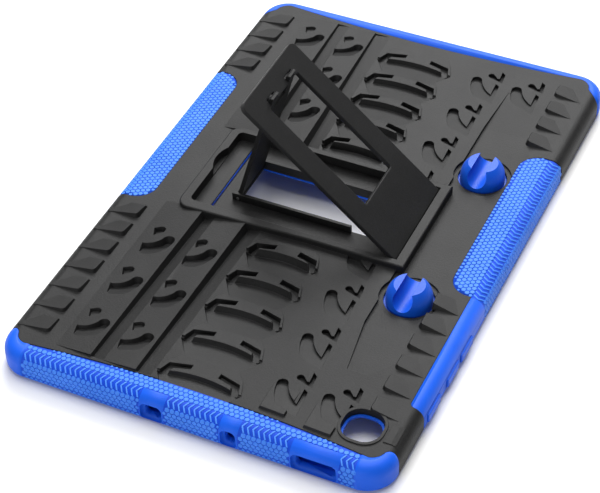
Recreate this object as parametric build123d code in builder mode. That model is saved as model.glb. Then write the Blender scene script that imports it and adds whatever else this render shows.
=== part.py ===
"""Rugged two-layer tablet case with a folding kickstand, lying screen side down.

A soft sleeve holds the tablet, a hard shell snaps over the sleeve's back and long sides,
and a kickstand of a leg and a strut is pinned into the shell. X runs along the short side,
Y along the long side and Z up, away from the tablet's screen. The origin is on the surface
that the case lies on, under its centre. All sizes are in millimetres.
"""
from build123d import *
import os
from math import atan2, cos, degrees, hypot, radians, sin, tan

os.makedirs("parts", exist_ok=True)

# The tablet that the case is made for
tablet_width = 154.3
tablet_length = 244.5
tablet_thickness = 7.0
tablet_corner_radius = 8.0

# Soft sleeve
pocket_clearance = 0.25
pocket_height_play = 0.2
side_wall = 4.6
end_wall = 4.5
lip_thickness = 1.2
lip_overlap = 2.0
back_sheet = 1.0
outer_top_radius = 5.0
outer_bottom_radius = 2.5

# Hard shell
shell_thickness = 2.6
skirt_thickness = 1.7
skirt_bottom = 0.8
layer_gap = 0.12
thinnest_skin = 0.7
near_arch_rise = 4.0
far_arch_rise = 3.6
end_margin_near = 7.8
end_margin_far = 5.4

# Grip windows in the shell's long sides
grip_y_low = -27.2
grip_y_high = 63.8
left_grip_width = 14.5
right_grip_width = 16.5
grip_corner_radius = 9.0
strip_width = 6.0
strip_from_end = 36.6
strip_past_grip = 12.0
strip_corner_radius = 2.0

# Kickstand: common
kick_y = 2.0
pin_radius = 0.75
edge_break = 0.25
running_gap = 0.05
seat_gap = 0.02
side_play = 0.4

# Kickstand leg
leg_pivot_x = 40.1
leg_width = 46.8
leg_length = 86.7
leg_thickness = 2.2
leg_barrel_radius = 1.6
leg_window_start = 22.4
leg_window_end = 77.0
leg_window_width = 25.6
leg_corner_radius = 3.0
leg_open_angle = 40.9

# Kickstand strut
strut_pivot_inset = 2.4
strut_pivot_height = 1.8
strut_floor_gap = 1.0
strut_thickness = 1.8
strut_barrel_radius = 1.6
strut_past_leg = 2.0
strut_shoulder_drop = 5.2
notch_depth = 3.0
notch_width = 5.9
notch_spacing = 15.9
tab_side_gap = 0.3
tab_notch_gap = 0.6
tab_tip_chamfer = 0.8

# Surround that the kickstand folds into
recess_depth = 4.5
rim_height = 2.7
recess_left_margin = 3.8
barrel_wall_gap = 0.4
rim_left = 4.1
rim_right = 4.1
rim_far = 3.0
rim_near = 3.0
rim_near_flare = 2.0
rim_corner_radius = 5.0
rim_edge_radius = 0.7
leg_below_rim = 0.1
recess_corner_radius = 2.2
rail_thickness = 1.3
rail_height = 3.5
rail_end_gap = 0.5
rail_leg_gap = 0.3
strut_side_gap = 0.3
pin_end_depth = 2.2
finger_scoop_width = 14.4
finger_scoop_depth = 2.0
finger_scoop_y = 7.0
relief_slot_width = 1.4
relief_slot_x = -42.4

# Pen clips
pen_radius = 4.1
pen_x = 54.0
pen_height = 4.2
clip_y_upper = 43.0
clip_y_lower = -37.0
clip_dome_radius = 9.4
clip_top_height = 7.0
clip_hole_gap = 0.9
clip_flange_radius = 11.6
clip_flange_gap = 0.3
clip_mouth_width = 6.6
clip_base_gap = 0.1
clip_surround_radius = 12.2

# Button covers on the right side
button_height = 4.2
button_proud = 0.8
button_stem_gap = 0.3
button_flange = 0.6
button_flange_thickness = 1.0
button_wall_split = 2.0
button_edge_radius = 0.6
power_from_end = 39.8
power_length = 12.0
volume_down_from_end = 59.2
volume_up_from_end = 73.4
volume_length = 11.8

# Openings in the ends
port_wall_recess = 1.8
port_recess_margin = 1.2
port_height = 5.6
port_corner_radius = 1.6

# Camera window
camera_x = 64.2
camera_from_end = 20.7
camera_hole = 15.6
camera_corner_radius = 6.5
camera_ring_width = 1.2
camera_ring_height = 0.45
camera_sleeve_ledge = 0.9
side_pad_height = 0.35
side_pad_width = 5.0
side_pad_length = 9.2
side_pad_from_end = 25.6

# Tread pattern
tread_crest_end = 0.5
tread_crest_mid = 2.2
tread_sink_end = 1.3
tread_sink_mid = 1.9
tread_draft = 20.0
tread_end_margin = 12.0
tread_mid_y = 25.0
lug_rise_end = 1.7
lug_rise_mid = 2.7
lug_draft = 24.0
lug_corner_radius = 2.2
lug_depth = 9.0
lug_pitch = 12.0
lug_margin = 2.4
lug_length = 14.4
right_lug_length = 13.0
comma_pitch = 25.8
hook_pitch = 25.6
lug_back_share = 0.5
right_lug_rows = 6
comma_column_x = -47.4
comma_column_pitch = 19.2
comma_drift = 0.02
hook_column_x = 25.0
outer_hook_x = 46.8
hook_drift = 0.055
centre_row_x = -0.7
centre_spread = 0.98
centre_widening = 0.0017
centre_waist_y = 36.0
tread_waist_y = 47.0
band_width = 15.2
band_widening = 2.5
band_end_rise = 0.9
gutter_width = 5.3
gutter_widening = 3.0
gutter_lip = 0.4
end_block_length = 14.0
end_block_rise = 1.1
lane_left = 43.2
lane_fade = 26.0
lane_drop = 1.3
block_root = 0.6
tread_reach = 5.0
small_pit_shelf = 0.3

# Where the tread's rows begin, from the kickstand's surround, and how near the ends they stop
near_tread_margin = 7.0
far_tread_margin = 15.0
long_row_margin = 10.0
near_lug_start = 14.6
far_lug_start = 40.0
near_comma_start = 21.8
far_comma_start = 24.8
near_centre_start = 11.2
far_centre_start = 9.0
centre_pitch_near = 16.9
centre_pitch_far = 16.2
centre_pitch_growth = 0.32
near_hook_start = -4.0
far_hook_start = 0.2

# Sizes that follow from the above
pocket_width = tablet_width + 2 * pocket_clearance
pocket_length = tablet_length + 2 * pocket_clearance
outer_width = pocket_width + 2 * side_wall
outer_length = pocket_length + 2 * end_wall
outer_corner_radius = tablet_corner_radius + side_wall
half_width = outer_width / 2
half_length = outer_length / 2
pocket_bottom = lip_thickness
pocket_top = pocket_bottom + tablet_thickness + pocket_height_play
sleeve_top = pocket_top + back_sheet
shell_top = sleeve_top + shell_thickness
deepest_floor = sleeve_top + thinnest_skin
near_edge_y = -half_length + end_margin_near
far_edge_y = half_length - end_margin_far
strip_y_low = -half_length + strip_from_end
camera_y = -half_length + camera_from_end
side_pad_y_high = -half_length + side_pad_from_end
tread_end_y = half_length - tread_end_margin
tread_slope = tan(radians(tread_draft))

rim_top = shell_top + rim_height
recess_floor = rim_top - recess_depth
leg_top = rim_top - leg_below_rim
leg_pivot_z = leg_top - leg_barrel_radius
leg_underside = leg_top - leg_thickness - leg_pivot_z
leg_face = leg_top - leg_pivot_z
strut_pivot_z = pocket_top + strut_floor_gap + strut_pivot_height
recess_right = leg_pivot_x + leg_barrel_radius + barrel_wall_gap
recess_left = leg_pivot_x - leg_length - recess_left_margin
recess_half = leg_width / 2 + side_play
strut_width = leg_window_width - 2 * (rail_leg_gap + rail_thickness + strut_side_gap)
rail_inner = strut_width / 2 + strut_side_gap
recess_width = recess_right - recess_left
recess_middle = (recess_right + recess_left) / 2
rim_x_low = recess_left - rim_left
rim_x_high = recess_right + rim_right
rim_y_low = kick_y - recess_half - rim_near
rim_y_high = kick_y + recess_half + rim_far
rail_left = leg_pivot_x - leg_window_end + rail_end_gap
rail_right = leg_pivot_x - leg_window_start - rail_end_gap
strut_pivot_x = rail_left + strut_pivot_inset

# Where the strut's tabs cross the open leg
open_angle = radians(leg_open_angle)
hook_u = leg_window_end + notch_depth - tab_notch_gap - 0.85 * strut_thickness
hook_w = (leg_face + leg_underside) / 2
hook_x = leg_pivot_x - hook_u * cos(open_angle) + hook_w * sin(open_angle)
hook_z = leg_pivot_z + hook_u * sin(open_angle) + hook_w * cos(open_angle)
strut_angle = degrees(atan2(hook_z - strut_pivot_z, hook_x - strut_pivot_x))
strut_reach = hypot(hook_z - strut_pivot_z, hook_x - strut_pivot_x)
leg_cross = leg_thickness / 2 / sin(radians(180 - leg_open_angle - strut_angle))
strut_length = strut_reach + leg_cross + strut_past_leg
strut_shoulder = strut_reach - strut_shoulder_drop


def slope(a, b, c):
    """The plane through three points, facing up."""
    along = Vector(*b) - Vector(*a)
    across = Vector(*c) - Vector(*a)
    normal = along.cross(across)
    if normal.Z < 0:
        normal = normal * -1
    return Plane(origin=a, x_dir=along, z_dir=normal)


def case_form():
    """The whole case's rounded outer form, before it is parted into sleeve and shell."""
    with BuildPart() as form:
        with BuildSketch():
            RectangleRounded(outer_width, outer_length, outer_corner_radius)
        extrude(amount=shell_top)
        fillet(form.faces().sort_by(Axis.Z)[-1].edges(), outer_top_radius)
        fillet(form.faces().sort_by(Axis.Z)[0].edges(), outer_bottom_radius)
    return form.part


def shell_plan(grow):
    """Plan of the hard shell: arched ends, rounded notches at the corners, grip windows."""
    past = half_width + 6
    with BuildSketch() as plan:
        with BuildLine():
            ThreePointArc(
                (10 - half_width, near_edge_y),
                (0, near_edge_y + near_arch_rise),
                (half_width - 10, near_edge_y),
            )
            ThreePointArc(
                (11.5 - half_width, far_edge_y),
                (0, far_edge_y - far_arch_rise),
                (half_width - 11.5, far_edge_y),
            )
            for side in (-1, 1):
                near_corner = [
                    (side * (half_width + x), near_edge_y + y)
                    for x, y in ((-10, 0), (-6.9, 1.6), (-5.4, 4.2), (-2.8, 6.0), (0.4, 4.4), (6, 1.0))
                ]
                far_corner = [
                    (side * (half_width + x), far_edge_y - y)
                    for x, y in ((-11.5, 0), (-7.8, 1.8), (-6.2, 5.4), (-3.4, 8.2), (0.4, 10.6), (6, 13.0))
                ]
                for corner in (near_corner, far_corner):
                    ThreePointArc(*corner[:3])
                    ThreePointArc(*corner[2:5])
                    Line(*corner[4:])
                Line(near_corner[-1], far_corner[-1])
        make_face()
        grip_length = grip_y_high - grip_y_low
        grip_middle = (grip_y_high + grip_y_low) / 2
        for side, width in ((-1, left_grip_width), (1, right_grip_width)):
            reach = width + 30
            with Locations((side * (half_width - width + reach / 2), grip_middle)):
                RectangleRounded(reach, grip_length, grip_corner_radius, mode=Mode.SUBTRACT)
        strip_length = grip_y_low + strip_past_grip - strip_y_low
        with Locations((past - strip_width / 2, strip_y_low + strip_length / 2)):
            RectangleRounded(
                2 * past - 2 * half_width + strip_width, strip_length, strip_corner_radius,
                mode=Mode.SUBTRACT,
            )
        if grow:
            offset(amount=grow)
    return plan.sketch


def sleeve_core(gap):
    """The sleeve's tray where the shell covers it, less a gap all round."""
    core_width = outer_width - 2 * (skirt_thickness + gap)
    with BuildPart() as core:
        with BuildSketch():
            RectangleRounded(core_width, outer_length - 10, outer_corner_radius - skirt_thickness)
        extrude(amount=sleeve_top)
        fillet(core.faces().sort_by(Axis.Z)[-1].edges(), 2.0)
        fillet(core.faces().sort_by(Axis.Z)[0].edges(), 1.0)
    return core.part


outer_form = case_form()


# Tread pattern of the shell's back


def crest(y):
    """How far the tread's crests stand above the shell's face at this place along the case."""
    share = min(1.0, (tread_end_y - abs(y)) / (tread_end_y - tread_mid_y))
    return tread_crest_end + (tread_crest_mid - tread_crest_end) * max(0.0, share)


def sink(y):
    """How far the tread's pits reach below the shell's face at this place along the case."""
    share = min(1.0, (tread_end_y - abs(y)) / (tread_end_y - tread_mid_y))
    return tread_sink_end + (tread_sink_mid - tread_sink_end) * max(0.0, share)


def lug_rise(y):
    """How far a shoulder lug's inner corner stands above the shell's face."""
    share = min(1.0, (tread_end_y - abs(y)) / (tread_end_y - tread_mid_y))
    return lug_rise_end + (lug_rise_mid - lug_rise_end) * max(0.0, share)


def rows(first, pitch, limit, growth=0.0):
    """Places along the case from first to limit, with a pitch that may grow row by row."""
    places = []
    y = first
    while (limit - y) * pitch >= 0:
        places.append(y)
        y += pitch + growth * (2 * len(places) - 1)
    return places


def raised_block(outline, plane, draft=0.0):
    """A tread block: the outline's prism, with drafted walls, below a sloping top."""
    with BuildPart() as block:
        with BuildSketch(Plane.XY.offset(shell_top - block_root)):
            add(outline)
        extrude(amount=block_root + tread_reach, taper=draft)
        split(bisect_by=plane, keep=Keep.BOTTOM)
    return block.part


def pit(outline, plane, draft=tread_draft):
    """A tread pit: the outline at the shell's thinnest skin, widening upwards, above a sloping floor."""
    with BuildPart() as hollow:
        with BuildSketch(Plane.XY.offset(deepest_floor)):
            add(outline)
        extrude(amount=shell_top + tread_reach - deepest_floor, taper=-draft)
        split(bisect_by=plane, keep=Keep.TOP)
    return hollow.part


def band(sections):
    """A long raised wedge: flush at its left edge, with a drafted wall down its right edge."""
    with BuildPart() as wedge:
        for y, left, right, rise in sections:
            with BuildSketch(Plane.XZ.offset(-y)):
                with BuildLine():
                    Polyline(
                        (left, shell_top - block_root),
                        (right + (rise + block_root) * tread_slope, shell_top - block_root),
                        (right, shell_top + rise),
                        (left, shell_top),
                        close=True,
                    )
                make_face()
        loft(ruled=True)
    return wedge.part


def gutter(sections):
    """The long wedge-shaped gutter at the foot of a band's wall, which it continues downwards."""
    with BuildPart() as wedge:
        for y, wall, right, rise, fall in sections:
            with BuildSketch(Plane.XZ.offset(-y)):
                with BuildLine():
                    Polyline(
                        (wall - (tread_reach - rise) * tread_slope, shell_top + tread_reach),
                        (right, shell_top + tread_reach),
                        (right, shell_top),
                        (wall + (rise + fall) * tread_slope, shell_top - fall),
                        close=True,
                    )
                make_face()
        loft(ruled=True)
    return wedge.part


def shoulder_lug(y, outer_x, inner_x):
    """A left shoulder lug: a wedge that rises to its rounded inner corner and falls away behind."""
    start_x = inner_x - lug_corner_radius
    bulge = lug_corner_radius * (1 - cos(radians(45)))
    with BuildSketch() as outline:
        with BuildLine():
            Line((outer_x, y), (start_x, y))
            ThreePointArc(
                (start_x, y), (inner_x - bulge, y + bulge), (inner_x, y + lug_corner_radius)
            )
            Line((inner_x, y + lug_corner_radius), (inner_x, y + lug_depth))
            Line((inner_x, y + lug_depth), (outer_x, y + lug_depth))
            Line((outer_x, y + lug_depth), (outer_x, y))
        make_face()
    top = slope(
        (outer_x, y, shell_top), (inner_x, y, shell_top + lug_rise(y)),
        (inner_x, y + lug_depth, shell_top + lug_back_share * lug_rise(y)),
    )
    return raised_block(outline.sketch, top, lug_draft)


def comma_pits(x, y):
    """A small and a big comma-shaped pit, placed by the centre of the big one's head."""
    with BuildSketch() as big:
        with BuildLine():
            ThreePointArc((x - 8.6, y - 5.3), (x - 4.6, y - 3.8), (x - 1.6, y - 0.4))
            ThreePointArc((x - 1.6, y - 0.4), (x + 0.2, y + 1.2), (x + 1.6, y - 0.4))
            ThreePointArc((x + 1.6, y - 0.4), (x - 0.6, y - 6.2), (x - 5.6, y - 10.4))
            Line((x - 5.6, y - 10.4), (x - 7.6, y - 9.0))
            Line((x - 7.6, y - 9.0), (x - 8.6, y - 5.3))
        make_face()
    with BuildSketch() as small:
        with BuildLine():
            Line((x - 8.2, y + 4.9), (x - 6.4, y + 5.9))
            ThreePointArc((x - 6.4, y + 5.9), (x - 5.2, y + 5.6), (x - 5.2, y + 4.4))
            Line((x - 5.2, y + 4.4), (x - 7.2, y + 2.6))
            Line((x - 7.2, y + 2.6), (x - 8.2, y + 4.9))
        make_face()
    low = shell_top - sink(y)
    floor = slope((x - 8.6, y - 5.3, low), (x + 2.0, y + 0.4, low), (x - 4.0, y - 10.5, shell_top + 1.0))
    flat = Plane.XY.offset(low + small_pit_shelf)
    return pit(big.sketch, floor), pit(small.sketch, flat)


def centre_block(y, spread):
    """One arched block of the centre row with its two bent sipes and the pit below it."""
    rise = 0.8 * crest(y)
    low = shell_top - sink(y)
    groove = 1.6 + 0.35 * crest(y)

    def at(x, dy):
        return (centre_row_x + spread * x, y + dy)

    with BuildSketch() as top:
        with BuildLine():
            Polyline(
                at(11.0, -1.6), at(11.6, -2.2), at(16.0, -2.2), at(14.0, 4.0), at(10.0, 9.5),
                at(-10.0, 9.5), at(-14.0, 4.0), at(-16.0, -2.2), at(-11.6, -2.2), at(-11.0, -1.6),
            )
            ThreePointArc(at(-11.0, -1.6), at(0, 0), at(11.0, -1.6))
        make_face()
    with BuildSketch() as foot:
        with BuildLine():
            Polyline(
                at(11.0, -2.2), at(14.8, -3.4), at(10.0, -10.5),
                at(-10.0, -10.5), at(-14.8, -3.4), at(-11.0, -2.2),
            )
            ThreePointArc(at(-11.0, -2.2), at(0, -0.6), at(11.0, -2.2))
        make_face()
    block_top = slope(
        at(0, 9.5) + (shell_top,), at(5, 9.5) + (shell_top,), at(0, -1.5) + (shell_top + rise,)
    )
    floor = slope(at(0, -10.5) + (shell_top,), at(5, -10.5) + (shell_top,), at(0, -1.5) + (low,))
    pits = [pit(foot.sketch, floor)]
    for side in (-1, 1):
        with BuildSketch() as sipe:
            with BuildLine():
                Polyline(
                    at(side * 5.6, 4.4), at(side * 13.2, 2.2), at(side * 14.6, -2.6),
                    at(side * 12.4, -2.6), at(side * 11.2, 2.2 - groove * 0.8),
                    at(side * 5.6, 4.4 - groove), close=True,
                )
            make_face()
        pits.append(pit(sipe.sketch, Plane.XY.offset(low), draft=tread_draft / 2))
    return raised_block(top.sketch, block_top), pits


def hook_pits(x, y):
    """A big and a small hooked pit, placed by the centre of the big one's head."""
    low = shell_top - sink(y)
    with BuildSketch() as big:
        with BuildLine():
            ThreePointArc((x + 2.2, y - 11.5), (x - 0.4, y - 6.8), (x - 1.8, y - 1.0))
            ThreePointArc((x - 1.8, y - 1.0), (x + 0.2, y + 1.3), (x + 2.6, y - 0.6))
            ThreePointArc((x + 2.6, y - 0.6), (x + 5.4, y - 5.2), (x + 9.6, y - 8.6))
            Polyline(
                (x + 9.6, y - 8.6), (x + 9.2, y - 0.6), (x + 11.0, y - 1.6),
                (x + 12.0, y - 15.0), (x + 2.2, y - 11.5),
            )
        make_face()
    with BuildSketch() as small:
        with BuildLine():
            ThreePointArc((x + 4.8, y + 3.0), (x + 4.2, y + 5.2), (x + 6.2, y + 5.6))
            Polyline(
                (x + 6.2, y + 5.6), (x + 8.4, y + 3.4), (x + 9.4, y + 3.6), (x + 9.0, y + 8.6),
                (x + 10.8, y + 7.2), (x + 11.4, y + 1.0), (x + 4.8, y + 3.0),
            )
        make_face()
    floor = slope(
        (x + 2.2, y - 12.0, shell_top), (x + 12.0, y - 14.5, shell_top), (x + 6.0, y - 2.0, low)
    )
    shelf = slope(
        (x + 4.8, y + 1.4, shell_top - small_pit_shelf), (x + 11.4, y + 0.8, shell_top - small_pit_shelf),
        (x + 7.0, y + 4.4, low),
    )
    return pit(big.sketch, floor, draft=0), pit(small.sketch, shelf, draft=0)


# Rows of the tread between the kickstand's surround and the shell's two ends
near_limit = near_edge_y + near_tread_margin
far_limit = far_edge_y - far_tread_margin
near_long_limit = near_edge_y + near_tread_margin + long_row_margin
near_lug_rows = rows(rim_y_low - near_lug_start, -lug_pitch, near_limit)
far_lug_rows = rows(rim_y_high + far_lug_start, lug_pitch, far_limit + 1.0)
comma_rows = rows(rim_y_low - near_comma_start, -comma_pitch, near_long_limit)
comma_rows += rows(rim_y_high + far_comma_start, comma_pitch - 0.8, far_limit)
centre_rows = rows(
    rim_y_low - near_centre_start, -centre_pitch_near, near_edge_y + long_row_margin,
    growth=-centre_pitch_growth,
)
centre_rows += rows(rim_y_high + far_centre_start, centre_pitch_far, far_limit)
hook_rows = rows(rim_y_low - near_hook_start, -hook_pitch, near_long_limit)
hook_rows += rows(rim_y_high + far_hook_start, hook_pitch - 0.6, far_limit + 0.2)

blocks = []
pits = []

for y in near_lug_rows + far_lug_rows:
    blocks.append(shoulder_lug(y, lug_margin - half_width, lug_margin + lug_length - half_width))
for y in near_lug_rows[:right_lug_rows] + far_lug_rows:
    left_lug = shoulder_lug(y, strip_width - half_width, strip_width + right_lug_length - half_width)
    blocks.append(mirror(left_lug, about=Plane.YZ))

band_near_y = near_edge_y + 4.0
band_far_y = far_edge_y - 4.6
for left, lean in ((-60.0, 0.0), (-40.6, 1.0)):
    right = left + band_width
    inner_y_near = rim_y_low + 0.8
    inner_y_far = rim_y_high + 0.2
    foot = right + gutter_width + lean
    foot_inner = foot + gutter_widening
    wall = right + band_widening
    fall = tread_sink_mid - gutter_lip
    end_fall = tread_sink_end - gutter_lip
    blocks.append(band((
        (band_near_y, left, right, band_end_rise), (inner_y_near, left, wall, tread_crest_mid)
    )))
    blocks.append(band((
        (inner_y_far, left, wall, tread_crest_mid), (band_far_y, left, right - lean, tread_crest_end)
    )))
    pits.append(gutter((
        (band_near_y, right, foot, band_end_rise, end_fall),
        (inner_y_near, wall, foot_inner, tread_crest_mid, fall),
    )))
    pits.append(gutter((
        (inner_y_far, wall, foot_inner, tread_crest_mid, fall),
        (band_far_y, right - lean, foot, tread_crest_end, end_fall - 0.3),
    )))
for y in comma_rows:
    drift = comma_drift * (abs(y) - tread_waist_y)
    for column in (0, 1):
        pits.extend(comma_pits(comma_column_x + column * comma_column_pitch - drift, y))

for y in centre_rows:
    block, cuts = centre_block(y, centre_spread + centre_widening * (abs(y) - centre_waist_y))
    blocks.append(block)
    pits.extend(cuts)

for y in hook_rows:
    drift = hook_drift * (abs(y) - tread_waist_y)
    pits.extend(hook_pits(hook_column_x + drift, y))
for y in (min(hook_rows), max(hook_rows)):
    pits.extend(hook_pits(outer_hook_x, y))

# Two plain blocks beside the camera, at the foot of the hook columns
for left, right, end_y in ((25.0, 36.4, near_edge_y + 5.4), (44.0, 56.0, near_edge_y + 3.2)):
    back_y = end_y + end_block_length
    with BuildSketch() as end_block:
        with BuildLine():
            Polyline(
                (left, end_y), (right, end_y - 0.6), (right, back_y), (left, back_y), close=True
            )
        make_face()
    end_top = slope(
        (left, end_y, shell_top + end_block_rise), (right, end_y, shell_top + end_block_rise),
        (left, back_y, shell_top),
    )
    blocks.append(raised_block(end_block.sketch, end_top, lug_draft))

# The lowered lane that the pen lies in: its left wall is clean and both its ends fade out
lane_near_y = near_edge_y + 37.2
lane_far_y = far_edge_y - 22.0
lane_right = half_width - strip_width - 1.0


def lane_piece(y_low, y_high, left_low, left_high, fade_low, fade_high):
    """A stretch of the lane: its floor rises to the right, and towards an end that fades out."""
    with BuildSketch() as outline:
        with BuildLine():
            Polyline(
                (left_high, y_high), (left_low, y_low), (lane_right, y_low), (lane_right, y_high),
                close=True,
            )
        make_face()
    low_end = shell_top - lane_drop * fade_low
    high_end = shell_top - lane_drop * fade_high
    floor = slope(
        (lane_left, y_low, low_end), (lane_left, y_high, high_end),
        (lane_right, (y_low + y_high) / 2, (low_end + high_end) / 2 + lane_drop),
    )
    return pit(outline.sketch, floor, draft=0)


lane = [
    lane_piece(
        lane_near_y + lane_fade, lane_far_y - lane_fade, lane_left, lane_left, 1.0, 1.0
    ),
    lane_piece(
        lane_far_y - lane_fade, lane_far_y, lane_left, lane_left + 1.4, 1.0, 0.15
    ),
    lane_piece(
        lane_near_y, lane_near_y + lane_fade, lane_left + 4.0, lane_left, 0.4, 1.0
    ),
]
for clip_y in (clip_y_lower, clip_y_upper):
    with BuildSketch() as clip_surround:
        with Locations((pen_x, clip_y)):
            Circle(clip_surround_radius)
    lane.append(pit(clip_surround.sketch, Plane.XY.offset(shell_top - lane_drop), draft=0))


# Hard back shell

with BuildPart() as back_shell:
    with BuildSketch(Plane.XY.offset(skirt_bottom)):
        add(shell_plan(0))
    extrude(amount=shell_top)
    add(outer_form, mode=Mode.INTERSECT)
    add(lane, mode=Mode.SUBTRACT)
    add(blocks)
    add(pits, mode=Mode.SUBTRACT)
    add(sleeve_core(0), mode=Mode.SUBTRACT)

    # Raised surround of the kickstand
    with BuildSketch(Plane.XY.offset(sleeve_top)) as rim_outline:
        with BuildLine():
            Polyline(
                (recess_middle + 8, rim_y_low), (rim_x_high, rim_y_low), (rim_x_high, rim_y_high),
                (rim_x_low, rim_y_high), (rim_x_low, rim_y_low - rim_near_flare),
                (rim_x_low + recess_width / 3, rim_y_low - rim_near_flare / 2),
                (recess_middle + 8, rim_y_low),
            )
        make_face()
        left_corners = rim_outline.vertices().sort_by(Axis.X)[:2]
        fillet(left_corners, rim_corner_radius)
    extrude(amount=rim_top - sleeve_top)
    rim_face = back_shell.faces().filter_by(Plane.XY).sort_by(Axis.Z)[-1]
    fillet(rim_face.outer_wire().edges(), rim_edge_radius)

    # Recess with rounded corners, and the finger scoop that reaches under the leg's end
    with BuildSketch(Plane.XY.offset(recess_floor)):
        with Locations((recess_middle, kick_y)):
            RectangleRounded(recess_width, 2 * recess_half, recess_corner_radius)
        with Locations((recess_right - recess_width / 4, kick_y)):
            Rectangle(recess_width / 2, 2 * recess_half)
    extrude(amount=10, mode=Mode.SUBTRACT)
    scoop_radius = (finger_scoop_width**2 / 4 + finger_scoop_depth**2) / (2 * finger_scoop_depth)
    with BuildSketch(Plane.XY.offset(recess_floor + 0.6)):
        with Locations((recess_left - finger_scoop_depth + scoop_radius, finger_scoop_y)):
            Circle(scoop_radius)
        with Locations((recess_left + 5, finger_scoop_y)):
            Rectangle(30, finger_scoop_width + 4, mode=Mode.INTERSECT)
    extrude(amount=10, mode=Mode.SUBTRACT)

    # Two rails that carry the strut's pin and stand in the folded leg's window
    with BuildSketch(Plane.XY.offset(recess_floor)):
        for side in (-1, 1):
            with Locations((
                (rail_left + rail_right) / 2,
                kick_y + side * (rail_inner + rail_thickness / 2),
            )):
                Rectangle(rail_right - rail_left, rail_thickness)
    extrude(amount=rail_height)

    # Window between the rails, long enough for the folded strut, and the slot beside it
    strut_fold_x = strut_pivot_x + strut_length + 1.0
    with BuildSketch(Plane.XY.offset(sleeve_top - 1)):
        with Locations(((rail_left + strut_fold_x) / 2, kick_y)):
            Rectangle(strut_fold_x - rail_left, 2 * rail_inner)
        with Locations((relief_slot_x, kick_y)):
            Rectangle(relief_slot_width, 2 * recess_half - 1.0)
    extrude(amount=recess_floor + 0.5 - sleeve_top + 1, mode=Mode.SUBTRACT)

    # Camera window with its raised ring, and the plain pad beside it
    with BuildSketch(Plane.XY.offset(sleeve_top)):
        with Locations((camera_x, camera_y)):
            ring_size = camera_hole + 2 * camera_ring_width
            RectangleRounded(ring_size, ring_size, camera_corner_radius + camera_ring_width)
    extrude(amount=shell_thickness + camera_ring_height)
    with BuildSketch(Plane.XY.offset(sleeve_top - 1)):
        with Locations((camera_x, camera_y)):
            RectangleRounded(camera_hole, camera_hole, camera_corner_radius)
    extrude(amount=10, mode=Mode.SUBTRACT)

    pad_inner = half_width - outer_top_radius - side_pad_width * 0.6
    with BuildSketch(Plane.XZ.offset(side_pad_y_high * -1)):
        with BuildLine():
            Polyline(
                (pad_inner, shell_top - 1), (pad_inner, shell_top + side_pad_height),
                (half_width - outer_top_radius, shell_top + side_pad_height),
                (pad_inner + side_pad_width, shell_top - 0.1),
                (pad_inner + side_pad_width, shell_top - 1), close=True,
            )
        make_face()
    extrude(amount=side_pad_length)

    # Round holes that the pen clips stand in
    clip_hole_radius = clip_dome_radius + clip_hole_gap
    with BuildSketch(Plane.XY.offset(sleeve_top - 1)):
        with Locations((pen_x, clip_y_upper), (pen_x, clip_y_lower)):
            Circle(clip_hole_radius)
    extrude(amount=10, mode=Mode.SUBTRACT)

    # Blind seats for the leg's pin in the surround, and the bore for the strut's pin
    with BuildSketch(Plane.XZ.offset(-(kick_y + recess_half + pin_end_depth))):
        with Locations((leg_pivot_x, leg_pivot_z)):
            Circle(pin_radius + seat_gap)
    extrude(amount=2 * (recess_half + pin_end_depth), mode=Mode.SUBTRACT)
    with BuildSketch(Plane.XZ.offset(-(kick_y + rail_inner + rail_thickness + 0.5))):
        with Locations((strut_pivot_x, strut_pivot_z)):
            Circle(pin_radius + seat_gap)
    extrude(amount=2 * (rail_inner + rail_thickness + 0.5), mode=Mode.SUBTRACT)

back_shell.part.label = "back_shell"
export_step(back_shell.part, "parts/back_shell.step")


# Soft inner sleeve

near_openings = {"headphone": (-16.6, -9.8), "microphone": (16.8, 21.0), "speaker_near": (45.6, 61.6)}
far_openings = {"charging": (-8.0, 7.0), "speaker_far": (42.0, 58.6)}
port_middle_z = pocket_bottom + tablet_thickness / 2

buttons = {
    "volume_up_cover": (volume_up_from_end - half_length, volume_length),
    "volume_down_cover": (volume_down_from_end - half_length, volume_length),
    "power_button_cover": (power_from_end - half_length, power_length),
}
wall_split_x = pocket_width / 2 + button_wall_split

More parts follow.
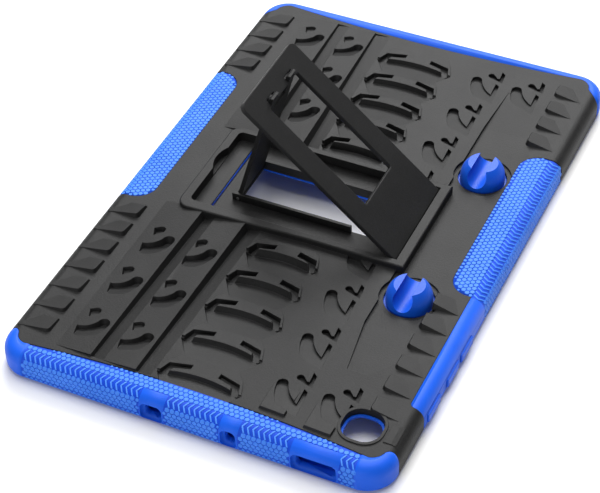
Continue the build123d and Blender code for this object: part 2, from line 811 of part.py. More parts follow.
with BuildPart() as inner_sleeve:
    add(outer_form)
    with BuildSketch(Plane.XY.offset(skirt_bottom - layer_gap)):
        add(shell_plan(layer_gap))
    extrude(amount=shell_top + 5, mode=Mode.SUBTRACT)
    add(sleeve_core(layer_gap))

    # Tablet pocket and the open front inside the lip
    with BuildSketch(Plane.XY.offset(pocket_bottom)):
        RectangleRounded(pocket_width, pocket_length, tablet_corner_radius)
    extrude(amount=pocket_top - pocket_bottom, mode=Mode.SUBTRACT)
    with BuildSketch(Plane.XY.offset(-1)):
        RectangleRounded(
            tablet_width - 2 * lip_overlap, tablet_length - 2 * lip_overlap,
            tablet_corner_radius - lip_overlap,
        )
    extrude(amount=pocket_bottom + 1.5, mode=Mode.SUBTRACT)

    # Windows behind the kickstand and the slot beside it
    with BuildSketch(Plane.XY.offset(pocket_top - 1)):
        with Locations(((rail_left + strut_fold_x) / 2, kick_y)):
            Rectangle(strut_fold_x - rail_left, 2 * rail_inner)
        with Locations((relief_slot_x, kick_y)):
            Rectangle(relief_slot_width, 2 * recess_half - 1.0)
    extrude(amount=5, mode=Mode.SUBTRACT)

    # Camera window, a little smaller than the shell's, and the seats of the clips' flanges
    with BuildSketch(Plane.XY.offset(pocket_top - 1)):
        with Locations((camera_x, camera_y)):
            ledge_size = camera_hole - 2 * camera_sleeve_ledge
            RectangleRounded(ledge_size, ledge_size, camera_corner_radius - camera_sleeve_ledge)
        with Locations((pen_x, clip_y_upper), (pen_x, clip_y_lower)):
            Circle(clip_flange_radius + clip_flange_gap)
    extrude(amount=shell_top, mode=Mode.SUBTRACT)

    # Openings in the two ends: a shallow recess outside and a hole through to the tablet
    for side, openings in ((-1, near_openings), (1, far_openings)):
        outer_plane = Plane.XZ.offset(-side * (half_length + 1))
        for start, end in openings.values():
            middle = (start + end) / 2
            with BuildSketch(outer_plane):
                with Locations((middle, port_middle_z + 0.3)):
                    RectangleRounded(
                        end - start + 2 * port_recess_margin,
                        port_height + 2 * port_recess_margin, port_corner_radius + 0.6,
                    )
            extrude(amount=side * (port_wall_recess + 1), mode=Mode.SUBTRACT)
            with BuildSketch(outer_plane):
                with Locations((middle, port_middle_z)):
                    RectangleRounded(end - start, port_height, port_corner_radius)
            extrude(amount=side * (end_wall + 3), mode=Mode.SUBTRACT)

    # Stepped slots for the button covers
    for start, length in buttons.values():
        middle = start + length / 2
        with BuildSketch(Plane.YZ.offset(pocket_width / 2 - 1)):
            with Locations((middle, port_middle_z)):
                Rectangle(
                    length + 2 * (button_flange + button_stem_gap),
                    button_height + 2 * (button_flange + button_stem_gap),
                )
        extrude(amount=button_wall_split + 1, mode=Mode.SUBTRACT)
        with BuildSketch(Plane.YZ.offset(pocket_width / 2 - 1)):
            with Locations((middle, port_middle_z)):
                RectangleRounded(
                    length + 2 * button_stem_gap, button_height + 2 * button_stem_gap,
                    button_edge_radius + button_stem_gap,
                )
        extrude(amount=side_wall + 3, mode=Mode.SUBTRACT)

inner_sleeve.part.label = "inner_sleeve"
export_step(inner_sleeve.part, "parts/inner_sleeve.step")


# Button covers, each a pad with a flange that keeps it in the sleeve's wall

for name, (start, length) in buttons.items():
    middle = start + length / 2
    flange_x = wall_split_x - button_stem_gap - button_flange_thickness
    with BuildPart() as cover:
        with BuildSketch(Plane.YZ.offset(flange_x)):
            with Locations((middle, port_middle_z)):
                RectangleRounded(length, button_height, button_edge_radius)
        extrude(amount=half_width + button_proud - flange_x)
        fillet(cover.faces().sort_by(Axis.X)[-1].edges(), button_edge_radius - 0.05)
        with BuildSketch(Plane.YZ.offset(flange_x)):
            with Locations((middle, port_middle_z)):
                Rectangle(length + 2 * button_flange, button_height + 2 * button_flange)
        extrude(amount=button_flange_thickness)
    cover.part.label = name
    export_step(cover.part, f"parts/{name}.step")


# Kickstand leg, drawn in its own plane at its open angle

leg_plane = Plane(
    origin=(leg_pivot_x, kick_y, leg_pivot_z),
    x_dir=(-cos(open_angle), 0, sin(open_angle)),
    z_dir=(sin(open_angle), 0, cos(open_angle)),
)
leg_along = Axis(leg_plane.origin, leg_plane.x_dir)
leg_up = Axis(leg_plane.origin, leg_plane.z_dir)
with BuildPart() as kickstand_leg:
    with BuildSketch(leg_plane.offset(leg_underside)):
        with Locations((leg_length / 2, 0)):
            Rectangle(leg_length, leg_width)
        with Locations(((leg_window_start + leg_window_end) / 2, 0)):
            RectangleRounded(
                leg_window_end - leg_window_start, leg_window_width, 0.8, mode=Mode.SUBTRACT
            )
        for side in (-1, 1):
            with Locations((leg_window_end - 2 + notch_depth / 2 + 1, side * notch_spacing / 2)):
                Rectangle(notch_depth + 2, notch_width, mode=Mode.SUBTRACT)
    extrude(amount=leg_thickness)
    free_corners = kickstand_leg.edges().filter_by(leg_up).sort_by(leg_along)[-2:]
    fillet(free_corners, leg_corner_radius)
    chamfer(kickstand_leg.faces().sort_by(leg_up)[-1].edges(), edge_break)
    chamfer(kickstand_leg.faces().sort_by(leg_up)[0].edges(), edge_break)
    with BuildSketch(Plane.XZ.offset(-(kick_y + leg_width / 2))):
        with Locations((leg_pivot_x, leg_pivot_z)):
            Circle(leg_barrel_radius)
    extrude(amount=leg_width)
    with BuildSketch(Plane.XZ.offset(-(kick_y + leg_width / 2 + 1))):
        with Locations((leg_pivot_x, leg_pivot_z)):
            Circle(pin_radius + running_gap)
    extrude(amount=leg_width + 2, mode=Mode.SUBTRACT)

kickstand_leg.part.label = "kickstand_leg"
export_step(kickstand_leg.part, "parts/kickstand_leg.step")


# Kickstand strut, drawn in its own plane at its standing angle

lean = radians(strut_angle)
strut_plane = Plane(
    origin=(strut_pivot_x, kick_y, strut_pivot_z),
    x_dir=(cos(lean), 0, sin(lean)),
    z_dir=(-sin(lean), 0, cos(lean)),
)
strut_along = Axis(strut_plane.origin, strut_plane.x_dir)
strut_up = Axis(strut_plane.origin, strut_plane.z_dir)
with BuildPart() as kickstand_strut:
    with BuildSketch(strut_plane.offset(-strut_thickness / 2)):
        with Locations((strut_shoulder / 2, 0)):
            Rectangle(strut_shoulder, strut_width)
        for side in (-1, 1):
            tab_inner = notch_spacing / 2 - notch_width / 2 + tab_side_gap
            tab_width = strut_width / 2 - tab_side_gap - tab_inner
            with Locations((
                (strut_shoulder + strut_length) / 2 - 1, side * (tab_inner + tab_width / 2)
            )):
                Rectangle(strut_length - strut_shoulder + 2, tab_width)
    extrude(amount=strut_thickness)
    tips = kickstand_strut.faces().sort_by(strut_along)[-2:]
    chamfer(tips.edges().filter_by(Axis.Y).sort_by(strut_up)[-2:], tab_tip_chamfer)
    with BuildSketch(Plane.XZ.offset(-(kick_y + strut_width / 2))):
        with Locations((strut_pivot_x, strut_pivot_z)):
            Circle(strut_barrel_radius)
    extrude(amount=strut_width)
    with BuildSketch(Plane.XZ.offset(-(kick_y + strut_width / 2 + 1))):
        with Locations((strut_pivot_x, strut_pivot_z)):
            Circle(pin_radius + running_gap)
    extrude(amount=strut_width + 2, mode=Mode.SUBTRACT)

kickstand_strut.part.label = "kickstand_strut"
export_step(kickstand_strut.part, "parts/kickstand_strut.step")


# Steel hinge pins

pins = {
    "leg_hinge_pin": (leg_pivot_x, leg_pivot_z, recess_half + pin_end_depth - 0.1),
    "strut_hinge_pin": (strut_pivot_x, strut_pivot_z, rail_inner + rail_thickness),
}
for name, (x, z, half) in pins.items():
    with BuildPart() as pin:
        with BuildSketch(Plane.XZ.offset(-(kick_y + half))):
            with Locations((x, z)):
                Circle(pin_radius)
        extrude(amount=2 * half)
        chamfer(pin.edges().filter_by(GeomType.CIRCLE), 0.15)
    pin.part.label = name
    export_step(pin.part, f"parts/{name}.step")


# Soft pen clips: a flange under the shell and a dome split into two jaws

pen_z = shell_top + pen_height
clip_base = pocket_top + clip_base_gap
for name, clip_y in (("pen_clip_upper", clip_y_upper), ("pen_clip_lower", clip_y_lower)):
    with BuildPart() as clip:
        with BuildSketch(Plane.XY.offset(clip_base)):
            with Locations((pen_x, clip_y)):
                Circle(clip_flange_radius)
        extrude(amount=sleeve_top - layer_gap - clip_base)
        with BuildSketch(Plane.XY.offset(clip_base)):
            with Locations((pen_x, clip_y)):
                Circle(clip_dome_radius)
        extrude(amount=shell_top - clip_base)
        with Locations((pen_x, clip_y, shell_top)):
            Sphere(clip_dome_radius, arc_size1=0, align=(Align.CENTER, Align.CENTER, Align.MIN))
        with BuildSketch(Plane.XZ.offset(-(clip_y + 20))):
            with Locations((pen_x, pen_z)):
                Circle(pen_radius)
            with Locations((pen_x, pen_z + 10)):
                Rectangle(clip_mouth_width, 20)
        extrude(amount=40, mode=Mode.SUBTRACT)
        split(bisect_by=Plane.XY.offset(shell_top + clip_top_height), keep=Keep.BOTTOM)
    clip.part.label = name
    export_step(clip.part, f"parts/{name}.step")
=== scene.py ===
"""Looks of a rugged two-layer tablet case with its kickstand open, lying screen side down.

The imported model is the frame: its nodes keep their shape and get their finishes here. The
soft sleeve is rebuilt on the frame's own surface, so that its three grips can carry their
moulded texture of cells and ridges. Lengths are in metres, X across the case, Y along it
and Z up out of its back.
"""
import bmesh
import bpy
import math
import numpy as np
from mathutils import Matrix, Vector
from mathutils.bvhtree import BVHTree


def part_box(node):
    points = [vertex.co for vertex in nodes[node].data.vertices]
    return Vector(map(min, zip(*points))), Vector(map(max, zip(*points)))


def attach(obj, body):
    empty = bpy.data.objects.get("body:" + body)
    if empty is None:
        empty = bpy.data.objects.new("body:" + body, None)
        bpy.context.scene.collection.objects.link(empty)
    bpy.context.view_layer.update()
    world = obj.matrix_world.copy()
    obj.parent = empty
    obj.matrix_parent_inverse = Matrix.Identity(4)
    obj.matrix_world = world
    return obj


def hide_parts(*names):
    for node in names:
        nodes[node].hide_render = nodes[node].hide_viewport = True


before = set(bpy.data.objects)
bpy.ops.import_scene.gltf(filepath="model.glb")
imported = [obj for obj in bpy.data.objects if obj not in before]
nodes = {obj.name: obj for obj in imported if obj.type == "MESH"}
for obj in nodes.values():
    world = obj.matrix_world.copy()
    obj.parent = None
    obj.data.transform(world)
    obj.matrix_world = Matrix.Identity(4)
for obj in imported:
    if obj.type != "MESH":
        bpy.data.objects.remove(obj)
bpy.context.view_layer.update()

MM = 0.001


# Materials: the helpers first, then one function for each kind of finish


def new_material(name):
    """A material with only its shader and output; gives the material, its tree and shader."""
    material = bpy.data.materials.new(name)
    material.use_nodes = True
    tree = material.node_tree
    tree.nodes.clear()
    output = tree.nodes.new("ShaderNodeOutputMaterial")
    shader = tree.nodes.new("ShaderNodeBsdfPrincipled")
    tree.links.new(shader.outputs["BSDF"], output.inputs["Surface"])
    return material, tree, shader


def object_coordinates(tree):
    """The piece's own coordinates, in metres."""
    return tree.nodes.new("ShaderNodeTexCoord").outputs["Object"]


def noise(tree, where, scale, detail, roughness):
    """The value of a noise texture of so many cycles per metre."""
    node = tree.nodes.new("ShaderNodeTexNoise")
    node.inputs["Scale"].default_value = scale
    node.inputs["Detail"].default_value = detail
    node.inputs["Roughness"].default_value = roughness
    tree.links.new(where, node.inputs["Vector"])
    return node.outputs["Fac"]


def ramp(tree, value, colour_at_low, colour_at_high, low, high):
    """A colour that goes from one to the other as the value goes from low to high."""
    node = tree.nodes.new("ShaderNodeValToRGB")
    first, last = node.color_ramp.elements
    first.position = low
    first.color = (*colour_at_low, 1)
    last.position = high
    last.color = (*colour_at_high, 1)
    tree.links.new(value, node.inputs["Fac"])
    return node.outputs["Color"]


def spread(tree, value, low, high):
    """A value of 0 to 1 spread over low to high."""
    node = tree.nodes.new("ShaderNodeMapRange")
    node.inputs["To Min"].default_value = low
    node.inputs["To Max"].default_value = high
    tree.links.new(value, node.inputs["Value"])
    return node.outputs["Result"]


def edge_sharpness(tree):
    """0 on flat faces and 1 on sharp edges, and the normal with those edges rounded.

    The mask is how far the rounded normal leans away from the face's own, as their dot
    product falls from 1 to the full-edge value; it places a paler painted highlight on edges.
    """
    edge_radius = 0.35 * MM
    full_edge_dot = 0.85
    rounded = tree.nodes.new("ShaderNodeBevel")
    rounded.samples = 4
    rounded.inputs["Radius"].default_value = edge_radius
    geometry = tree.nodes.new("ShaderNodeNewGeometry")
    dot = tree.nodes.new("ShaderNodeVectorMath")
    dot.operation = "DOT_PRODUCT"
    tree.links.new(rounded.outputs["Normal"], dot.inputs[0])
    tree.links.new(geometry.outputs["Normal"], dot.inputs[1])
    lean = tree.nodes.new("ShaderNodeMapRange")
    lean.inputs["From Min"].default_value = 1.0
    lean.inputs["From Max"].default_value = full_edge_dot
    tree.links.new(dot.outputs["Value"], lean.inputs["Value"])
    return lean.outputs["Result"], rounded.outputs["Normal"]


def grain_bump(tree, height, distance, strength, normal=None):
    """The normal roughened by a height field of the given depth."""
    bump = tree.nodes.new("ShaderNodeBump")
    bump.inputs["Strength"].default_value = strength
    bump.inputs["Distance"].default_value = distance
    tree.links.new(height, bump.inputs["Height"])
    if normal is not None:
        tree.links.new(normal, bump.inputs["Normal"])
    return bump.outputs["Normal"]


def moulded_plastic(name, dark, light, roughness, grain_scale, grain_depth):
    """Black moulded plastic: spark-eroded grain, faint flow marks and a painted highlight on its
    edges.

    The tone is a mix of broad flow marks and fine specks, from dark to light. The edges mix
    in a paler tone of their own by how sharp they are, a highlight painted into the colour.
    """
    speck_share = 0.6
    highlight_gain = 2.1
    highlight_lift = 0.012
    highlight_share = 0.55
    material, tree, shader = new_material(name)
    where = object_coordinates(tree)
    flow = noise(tree, where, scale=45.0, detail=3.0, roughness=0.6)
    speck = noise(tree, where, scale=1500.0, detail=2.0, roughness=0.7)
    grain = noise(tree, where, scale=grain_scale, detail=3.0, roughness=0.7)

    tone = tree.nodes.new("ShaderNodeMix")
    tone.inputs["Factor"].default_value = speck_share
    tree.links.new(flow, tone.inputs["A"])
    tree.links.new(speck, tone.inputs["B"])
    base = ramp(tree, tone.outputs["Result"], dark, light, low=0.38, high=0.62)

    # Sharp edges mix in a paler tone: a painted highlight along the edges
    edge_highlight_mask, rounded_normal = edge_sharpness(tree)
    amount = tree.nodes.new("ShaderNodeMath")
    amount.operation = "MULTIPLY"
    amount.inputs[1].default_value = highlight_share
    tree.links.new(edge_highlight_mask, amount.inputs[0])
    colour = tree.nodes.new("ShaderNodeMix")
    colour.data_type = "RGBA"
    highlight_colour = [channel * highlight_gain + highlight_lift for channel in light]
    colour.inputs["B"].default_value = (*highlight_colour, 1)
    tree.links.new(amount.outputs["Value"], colour.inputs["Factor"])
    tree.links.new(base, colour.inputs["A"])
    tree.links.new(colour.outputs["Result"], shader.inputs["Base Color"])

    normal = grain_bump(tree, grain, grain_depth, strength=0.7, normal=rounded_normal)
    tree.links.new(normal, shader.inputs["Normal"])
    tree.links.new(spread(tree, speck, *roughness), shader.inputs["Roughness"])
    shader.inputs["Specular IOR Level"].default_value = 0.2
    return material


def soft_rubber(name, deep, bright, roughness):
    """Satin soft plastic: an even colour, slightly clouded, with a very fine grain."""
    grain_depth = 0.02 * MM
    material, tree, shader = new_material(name)
    where = object_coordinates(tree)
    cloud = noise(tree, where, scale=60.0, detail=3.0, roughness=0.55)
    grain = noise(tree, where, scale=3200.0, detail=2.0, roughness=0.6)
    colour = ramp(tree, cloud, deep, bright, low=0.3, high=0.75)
    tree.links.new(colour, shader.inputs["Base Color"])
    tree.links.new(spread(tree, grain, *roughness), shader.inputs["Roughness"])
    normal = grain_bump(tree, grain, grain_depth, strength=0.35)
    tree.links.new(normal, shader.inputs["Normal"])
    shader.inputs["Specular IOR Level"].default_value = 0.22
    shader.inputs["Sheen Weight"].default_value = 0.04
    shader.inputs["Sheen Roughness"].default_value = 0.4
    return material


def drawn_steel(name, dull, bright, roughness):
    """Drawn steel wire: bright, with fine scratches that run along it."""
    scratch_depth = 0.01 * MM
    scratch_stretch = (1.0, 0.02, 1.0)
    material, tree, shader = new_material(name)
    drawn = tree.nodes.new("ShaderNodeMapping")
    drawn.inputs["Scale"].default_value = scratch_stretch
    tree.links.new(object_coordinates(tree), drawn.inputs["Vector"])
    scratches = noise(tree, drawn.outputs["Vector"], scale=4000.0, detail=2.0, roughness=0.6)
    colour = ramp(tree, scratches, dull, bright, low=0.3, high=0.7)
    tree.links.new(colour, shader.inputs["Base Color"])
    tree.links.new(spread(tree, scratches, *roughness), shader.inputs["Roughness"])
    normal = grain_bump(tree, scratches, scratch_depth, strength=0.4)
    tree.links.new(normal, shader.inputs["Normal"])
    shader.inputs["Metallic"].default_value = 1.0
    return material


shell_plastic = moulded_plastic(
    "shell_plastic",
    dark=(0.0060, 0.0060, 0.0062),
    light=(0.0150, 0.0150, 0.0152),
    roughness=(0.44, 0.60),
    grain_scale=1300.0,
    grain_depth=0.14 * MM,
)
stand_plastic = moulded_plastic(
    "stand_plastic",
    dark=(0.0065, 0.0065, 0.0067),
    light=(0.0120, 0.0120, 0.0123),
    roughness=(0.48, 0.62),
    grain_scale=1500.0,
    grain_depth=0.08 * MM,
)
sleeve_rubber = soft_rubber(
    "sleeve_rubber", deep=(0.004, 0.092, 0.66), bright=(0.005, 0.108, 0.74), roughness=(0.42, 0.56)
)
# A darker copy of the sleeve's blue for the texture's ground: painted shade in the grooves
groove_painted_shade = soft_rubber(
    "groove_painted_shade", deep=(0.002, 0.052, 0.52), bright=(0.003, 0.066, 0.58), roughness=(0.55, 0.70)
)
# A paler copy of the sleeve's blue on the raised cells: painted light on the texture
cell_painted_light = soft_rubber(
    "cell_painted_light", deep=(0.036, 0.185, 0.74), bright=(0.052, 0.220, 0.82), roughness=(0.44, 0.58)
)
# Paler still on the raised ridges: painted light and highlight on them
ridge_painted_light = soft_rubber(
    "ridge_painted_light", deep=(0.070, 0.260, 0.84), bright=(0.090, 0.300, 0.92), roughness=(0.44, 0.58)
)
clip_rubber = soft_rubber(
    "clip_rubber", deep=(0.003, 0.075, 0.56), bright=(0.004, 0.090, 0.62), roughness=(0.34, 0.46)
)
pin_steel = drawn_steel(
    "pin_steel", dull=(0.42, 0.42, 0.43), bright=(0.62, 0.62, 0.64), roughness=(0.22, 0.40)
)

finishes = {
    "back_shell": shell_plastic,
    "kickstand_leg": stand_plastic,
    "kickstand_strut": stand_plastic,
    "leg_hinge_pin": pin_steel,
    "strut_hinge_pin": pin_steel,
    "pen_clip_upper": clip_rubber,
    "pen_clip_lower": clip_rubber,
    "power_button_cover": sleeve_rubber,
    "volume_up_cover": sleeve_rubber,
    "volume_down_cover": sleeve_rubber,
}
for node_name, finish in finishes.items():
    mesh = nodes[node_name].data
    mesh.materials.clear()
    mesh.materials.append(finish)


# The sleeve's rounded edge: a quarter circle off the flat back, a wall, a smaller quarter circle

_, sleeve_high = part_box("inner_sleeve")
half_width = sleeve_high.x
half_length = sleeve_high.y
sleeve_top = sleeve_high.z
top_radius = 5.0 * MM
bottom_radius = 2.5 * MM
upper_bend = top_radius * math.pi / 2
wall_height = sleeve_top - top_radius - bottom_radius

# Which way each side edge faces
edge_side = {"right": 1, "left": -1}

# The three grips, and how far each reaches along its edge
grip_y_low = -27.4 * MM
grip_y_high = 64.0 * MM
near_grip_reach = 69.4 * MM
grips = {
    "near": (-near_grip_reach, near_grip_reach),
    "right": (grip_y_low, grip_y_high),
    "left": (grip_y_low, grip_y_high),
}

# Smooth stretches of the near edge, round its ports
near_pockets = {
    "headphone": (-18.2 * MM, -8.2 * MM),
    "microphone": (15.2 * MM, 22.6 * MM),
    "speaker": (44.0 * MM, 63.2 * MM),
}

# The texture stands on a ground set back from the sleeve's face, with a step round it
groove_depth = 0.28 * MM
step_width = 0.3 * MM
root_sink = 0.03 * MM

# Its hexagon cells, whose six corners are 60 degrees apart, the first at 30 degrees
hexagon_turn = np.radians(np.arange(6) * 60 + 30)
cell_pitch = 2.1 * MM
groove_width = 0.34 * MM
cell_crown = 0.05 * MM
cell_flare = 0.08 * MM
cell_chamfer = 0.14 * MM
cell_shares = (1.0, 0.72, 0.5)
row_pitch = cell_pitch * math.cos(math.pi / 6)
row_offset = 0.62
left_rows = range(-4, 9)
flat_rows = 7
wall_rows = 4
foot_share = 0.7
foot_pitch = 1.5 * MM

# Its V-shaped ridges, which run round the upper bend
ridge_from = -0.5 * MM
ridge_to = 4.1 * MM
ridge_lean = 1.2 * MM
ridge_pitch = 2.2 * MM
ridge_width = 0.75 * MM
ridge_crown_share = 0.56
ridge_steps = 9
ridge_start_inset = 0.3 * ridge_pitch
ridge_end_inset = 0.6 * ridge_pitch

# How near a point counts as on the sleeve's face, and where the ground may lie
face_slack = 0.08 * MM
skin_slack = 0.12 * MM
ground_lowest = 0.8 * MM
ground_reach = 24 * MM
edge_zone = 20 * MM
merge_distance = 0.001 * MM
cut_slack = 0.0001 * MM
never_zero = 1e-9
sharp_angle = math.radians(28)


def edge_profile(across, raised):
    """Distance in from the sleeve's outer face, and height, of points on its rounded edge.

    across is measured down from where the flat back begins to bend: negative on the flat,
    then a quarter circle, the upright wall and a smaller quarter circle. raised is the
    height off that face, along its normal.
    """
    bend = np.clip(across / top_radius, 0, math.pi / 2)
    wall = np.clip(across - upper_bend, 0, wall_height)
    low = np.clip((across - upper_bend - wall_height) / bottom_radius, 0, math.pi / 2)
    turn = bend + low
    inward = top_radius * (1 - np.sin(bend)) - np.minimum(across, 0)
    inward = inward + bottom_radius * (1 - np.cos(low)) - raised * np.sin(turn)
    height = sleeve_top - top_radius * (1 - np.cos(bend)) - wall - bottom_radius * np.sin(low)
    return inward, height + raised * np.cos(turn)


def on_edge(edge, along, across, raised):
    """Points on one edge of the sleeve: along it, across its profile and raised off it."""
    inward, height = edge_profile(across, raised)
    along = along + 0 * inward
    if edge == "near":
        return np.stack((along, inward - half_length, height), -1)
    return np.stack((edge_side[edge] * (half_width - inward), along, height), -1)


def from_edge(edge, points):
    """Distance in from an edge's outer face, and place along the edge, of points."""
    if edge == "near":
        return points[:, 1] + half_length, points[:, 0]
    return half_width - edge_side[edge] * points[:, 0], points[:, 1]


def below_face(inward, height):
    """Depth of points below the rounded outer face, and that face's normal (outward, up).

    The face lies one radius off a core that starts a radius in from the side and from the
    top and bottom. A point's reach is its distance from the nearest place on the core, and
    its depth is the radius less that reach.
    """
    radius = np.where(height < bottom_radius, bottom_radius, top_radius)
    out = np.maximum(inward, radius) - inward
    rise = height - np.clip(height, bottom_radius, sleeve_top - top_radius)
    reach = np.maximum(np.hypot(out, rise), never_zero)
    return radius - reach, out / reach, rise / reach


def in_pocket(along):
    """Whether places along the near edge lie at one of its port pockets."""
    inside = np.zeros(np.shape(along), bool)
    for start, end in near_pockets.values():
        inside |= (along > start) & (along < end)
    return inside


def in_grip(edge, inward, along):
    """Whether points lie within an edge's textured stretch, seen along it and in from it.

    Past the near edge's ports the texture keeps only to the flat back above the ridges.
    """
    low, high = grips[edge]
    inside = (along > low) & (along < high) & (inward < ground_reach)
    if edge == "near":
        inside &= ~in_pocket(along) | (inward > top_radius - ridge_from)
    return inside


def cut_step(shape, axis, place, is_near):
    """Two loops, a step's width apart round a place on an axis, across the faces of one edge.

    is_near tells from a face's middle whether it belongs to that edge.
    """
    normal = Vector((axis == "X", axis == "Y", 0))
    for side in (-0.5, 0.5):
        faces = [face for face in shape.faces if is_near(face.calc_center_median())]
        parts = dict.fromkeys(part for face in faces for part in (face, *face.edges, *face.verts))
        bmesh.ops.bisect_plane(
            shape,
            geom=list(parts),
            plane_co=normal * (place + side * step_width),
            plane_no=normal,
            dist=cut_slack,
        )


def split_sleeve():
    """A merged copy of the frame's sleeve, with loops cut in where its texture starts and ends.

    The right and left grips end at the same places, so one cut serves both.
    """

    def by_near_edge(middle):
        return middle.y < edge_zone - half_length

    def by_side_edge(middle):
        return abs(middle.x) > half_width - edge_zone

    shape = bmesh.new()
    shape.from_mesh(nodes["inner_sleeve"].data)
    bmesh.ops.remove_doubles(shape, verts=shape.verts, dist=merge_distance)
    cut_step(shape, "Y", top_radius - ridge_from - half_length, by_near_edge)
    for ends in (grips["near"], *near_pockets.values()):
        for place in ends:
            cut_step(shape, "X", place, by_near_edge)
    for place in grips["right"]:
        cut_step(shape, "Y", place, by_side_edge)
    mesh = bpy.data.meshes.new("sleeve_body")
    shape.to_mesh(mesh)
    shape.free()
    return mesh


def sleeve_body():
    """The sleeve with its three textured stretches set back to the ground of the texture.

    Each point of the rounded outer face that lies in a textured stretch moves in along the
    face's normal by the depth of the grooves; everything else stays as the frame has it.
    The faces all of whose corners moved are the ground, in a darker blue that is painted shade in
    the grooves.
    """
    mesh = split_sleeve()
    points = np.empty(3 * len(mesh.vertices))
    mesh.vertices.foreach_get("co", points)
    points = points.reshape(-1, 3)
    moved = points.copy()
    ground = np.zeros(len(points), bool)
    for edge in grips:
        inward, along = from_edge(edge, points)
        depth, out, rise = below_face(inward, points[:, 2])
        inside = in_grip(edge, inward, along)
        inside &= (abs(depth) < face_slack) & (points[:, 2] > ground_lowest)
        shift = groove_depth * inside
        if edge == "near":
            moved[:, 1] += shift * out
        else:
            moved[:, 0] -= edge_side[edge] * shift * out
        moved[:, 2] -= shift * rise
        ground |= inside
    mesh.vertices.foreach_set("co", moved.ravel())

    corner_vertex = np.empty(len(mesh.loops), np.int32)
    mesh.loops.foreach_get("vertex_index", corner_vertex)
    first_corner = np.empty(len(mesh.polygons), np.int32)
    mesh.polygons.foreach_get("loop_start", first_corner)
    is_ground = np.logical_and.reduceat(ground[corner_vertex], first_corner)
    mesh.polygons.foreach_set("material_index", is_ground.astype(np.int32))
    mesh.polygons.foreach_set("use_smooth", np.ones(len(mesh.polygons), bool))
    mesh.update()
    mesh.set_sharp_from_angle(angle=sharp_angle)
    mesh.materials.append(sleeve_rubber)
    # The ground faces take the darker blue, painted shade
    mesh.materials.append(groove_painted_shade)
    body = bpy.data.objects.new("sleeve_body", mesh)
    bpy.context.scene.collection.objects.link(body)
    return body


# The grips' texture: closed cells and ridges that stand on the ground


def closed_pieces(name, rings, material):
    """One mesh of many small closed solids, each a stack of rings of corners.

    rings has the shape (solids, rings, corners, 3). Side faces join each ring to the next,
    and the first and last rings are capped.
    """
    solids, levels, corners = rings.shape[:3]
    index = np.arange(solids * levels * corners).reshape(solids, levels, corners)
    ahead = np.roll(index, -1, axis=2)
    sides = np.stack((index[:, :-1], ahead[:, :-1], ahead[:, 1:], index[:, 1:]), -1)
    first_caps = index[:, 0, ::-1]
    last_caps = index[:, -1]
    faces = sides.reshape(-1, 4).tolist() + first_caps.tolist() + last_caps.tolist()
    mesh = bpy.data.meshes.new(name)
    mesh.from_pydata(rings.reshape(-1, 3).tolist(), [], faces)
    shape = bmesh.new()
    shape.from_mesh(mesh)
    bmesh.ops.recalc_face_normals(shape, faces=shape.faces)
    shape.to_mesh(mesh)
    shape.free()
    mesh.materials.append(material)
    piece = bpy.data.objects.new(name, mesh)
    bpy.context.scene.collection.objects.link(piece)
    return piece


sleeve_tree = BVHTree.FromPolygons(
    [vertex.co for vertex in nodes["inner_sleeve"].data.vertices],
    [polygon.vertices for polygon in nodes["inner_sleeve"].data.polygons],
)


def fits(edge, along, across):
    """Whether all these points of an edge's profile lie on the frame's sleeve."""
    points = on_edge(edge, along, across, 0.0).reshape(-1, 3)
    return all(sleeve_tree.find_nearest(Vector(point))[3] < skin_slack for point in points)


def hexagon_cell(edge, along, across, share):
    """Rings of a low hexagon cell with a chamfered crown, or None where it would not fit.

    Each ring is six corners at equal angles round the cell's centre: a root wider than the
    cell and just under the ground, then the cell's own size, then the crown inside it.
    """
    apothem = (cell_pitch - groove_width) / 2 * share
    apothems = np.array((apothem + cell_flare, apothem, apothem - cell_chamfer))
    radii = apothems / math.cos(math.pi / 6)
    heights = np.array((-groove_depth - root_sink, -cell_crown, 0.0))
    ring_along = along + radii[:, None] * np.cos(hexagon_turn)
    ring_across = across + radii[:, None] * np.sin(hexagon_turn)
    if not fits(edge, ring_along[1], ring_across[1]):
        return None
    if edge == "near" and across > ridge_from and in_pocket(ring_along[0]).any():
        return None
    return on_edge(edge, ring_along, ring_across, heights[:, None] + 0 * ring_along)


def cell_rows(edge):
    """Places across an edge of its rows of cells, with each row's share of the full size.

    The left grip is cells all over; the others leave the upper bend to the ridges, and end
    in two rows of smaller cells round the lower bend.
    """
    if edge == "left":
        return [(row_pitch * (row - row_offset), 1.0) for row in left_rows]
    flat = [(ridge_from - row_pitch * (row + row_offset), 1.0) for row in range(flat_rows)]
    wall = [(ridge_to + row_pitch * (row + row_offset), 1.0) for row in range(wall_rows)]
    foot = ridge_to + row_pitch * (wall_rows + row_offset)
    return flat + wall + [(foot, foot_share), (foot + foot_pitch, foot_share)]


def grip_cells(edge, low, high):
    """Rows of hexagon cells along an edge, every other row half a pitch on.

    A cell that would not fit is tried smaller, and left out if the smallest doesn't fit.
    """
    solids = []
    for row, (across, row_share) in enumerate(cell_rows(edge)):
        first = low + cell_pitch * (0.5 + 0.5 * (row % 2))
        for along in np.arange(first, high, cell_pitch):
            tries = (hexagon_cell(edge, along, across, row_share * share) for share in cell_shares)
            cell = next((rings for rings in tries if rings is not None), None)
            if cell is not None:
                solids.append(cell)
    # The cells are painted paler, as lit
    return closed_pieces(f"{edge}_grip_cells", np.array(solids), cell_painted_light)


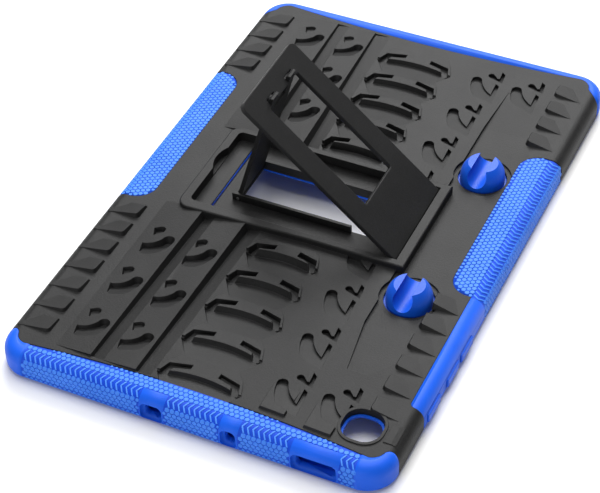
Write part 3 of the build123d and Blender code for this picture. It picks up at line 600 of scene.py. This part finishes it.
def grip_ridges(edge, low, high):
    """A row of V-shaped ridges round an edge's upper bend, their points all one way.

    Each is a low trapezium carried along a path from the bend's top to its foot. The path
    stands off its own middle by ridge_lean times the distance from there, as a share of the
    distance from the middle to either end.
    """
    share = np.linspace(0, 1, ridge_steps)
    across = ridge_from + (ridge_to - ridge_from) * share
    lean = ridge_lean * abs(2 * share - 1)
    half_section = np.array((-1, -ridge_crown_share, ridge_crown_share, 1)) * ridge_width / 2
    root = -groove_depth - root_sink
    section_height = np.array((root, 0.0, 0.0, root))
    ends_and_middle = [0, ridge_steps // 2, -1]
    solids = []
    for along in np.arange(low + ridge_start_inset, high - ridge_end_inset, ridge_pitch):
        path = along + lean
        if not fits(edge, path[ends_and_middle], across[ends_and_middle]):
            continue
        if edge == "near" and in_pocket(np.array((along, along + ridge_lean))).any():
            continue
        section_along = path[:, None] + half_section
        section_across = across[:, None] + 0 * half_section
        raised = section_height + 0 * section_along
        solids.append(on_edge(edge, section_along, section_across, raised))
    # The ridges are painted paler, as lit
    return closed_pieces(f"{edge}_grip_ridges", np.array(solids), ridge_painted_light)


body = sleeve_body()
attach(body, "case")
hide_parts("inner_sleeve")
for edge, (low, high) in grips.items():
    texture = [grip_cells(edge, low, high)]
    if edge != "left":
        texture.append(grip_ridges(edge, low, high))
    for piece in texture:
        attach(piece, "case")


# Camera: in front of the case's near right corner, with its own right and up directions

camera_place = Vector((0.25187, -0.54121, 0.53649))
camera_right = Vector((0.90736868, 0.41984493, -0.02030544))
camera_up = Vector((-0.27053525, 0.6202884, 0.73624248))
camera_back = camera_right.cross(camera_up)
camera_data = bpy.data.cameras.new("camera")
camera_data.lens = 115.49
camera_data.sensor_width = 36.0
camera_data.clip_start = 10 * MM
camera = bpy.data.objects.new("camera", camera_data)
camera_turn = Matrix((camera_right, camera_up, camera_back)).transposed()
camera.matrix_world = Matrix.Translation(camera_place) @ camera_turn.to_4x4()
bpy.context.scene.collection.objects.link(camera)
bpy.context.scene.camera = camera


# Floor and lights

floor_reach = 4.0
floor_grey = 0.86
floor_mesh = bpy.data.meshes.new("floor")
floor_corners = [(-1, -1), (1, -1), (1, 1), (-1, 1)]
floor_mesh.from_pydata(
    [(x * floor_reach, y * floor_reach, 0) for x, y in floor_corners], [], [(0, 1, 2, 3)]
)
floor = bpy.data.objects.new("floor", floor_mesh)
bpy.context.scene.collection.objects.link(floor)
floor_paint, _, floor_shader = new_material("floor_paint")
floor_shader.inputs["Base Color"].default_value = (floor_grey, floor_grey, floor_grey, 1)
floor_shader.inputs["Roughness"].default_value = 0.9
floor_mesh.materials.append(floor_paint)


def soft_light(name, place, width, height, power):
    """A rectangular area light that faces the origin, under the middle of the case."""
    data = bpy.data.lights.new(name, "AREA")
    data.shape = "RECTANGLE"
    data.size = width
    data.size_y = height
    data.energy = power
    light = bpy.data.objects.new(name, data)
    light.location = place
    light.rotation_euler = (-Vector(place)).to_track_quat("-Z", "Y").to_euler()
    bpy.context.scene.collection.objects.link(light)


soft_light("key", place=(-0.3, 1.2, 1.05), width=1.2, height=0.8, power=30)
soft_light("front", place=(-0.15, -1.2, 0.35), width=1.2, height=0.4, power=5)
soft_light("top", place=(-0.15, 0.25, 1.6), width=1.3, height=1.3, power=24)

studio = bpy.data.worlds.new("studio")
studio.use_nodes = True
studio.node_tree.nodes["Background"].inputs["Color"].default_value = (1, 1, 1, 1)
studio.node_tree.nodes["Background"].inputs["Strength"].default_value = 0.22
bpy.context.scene.world = studio
bpy.context.scene.view_settings.view_transform = "Standard"
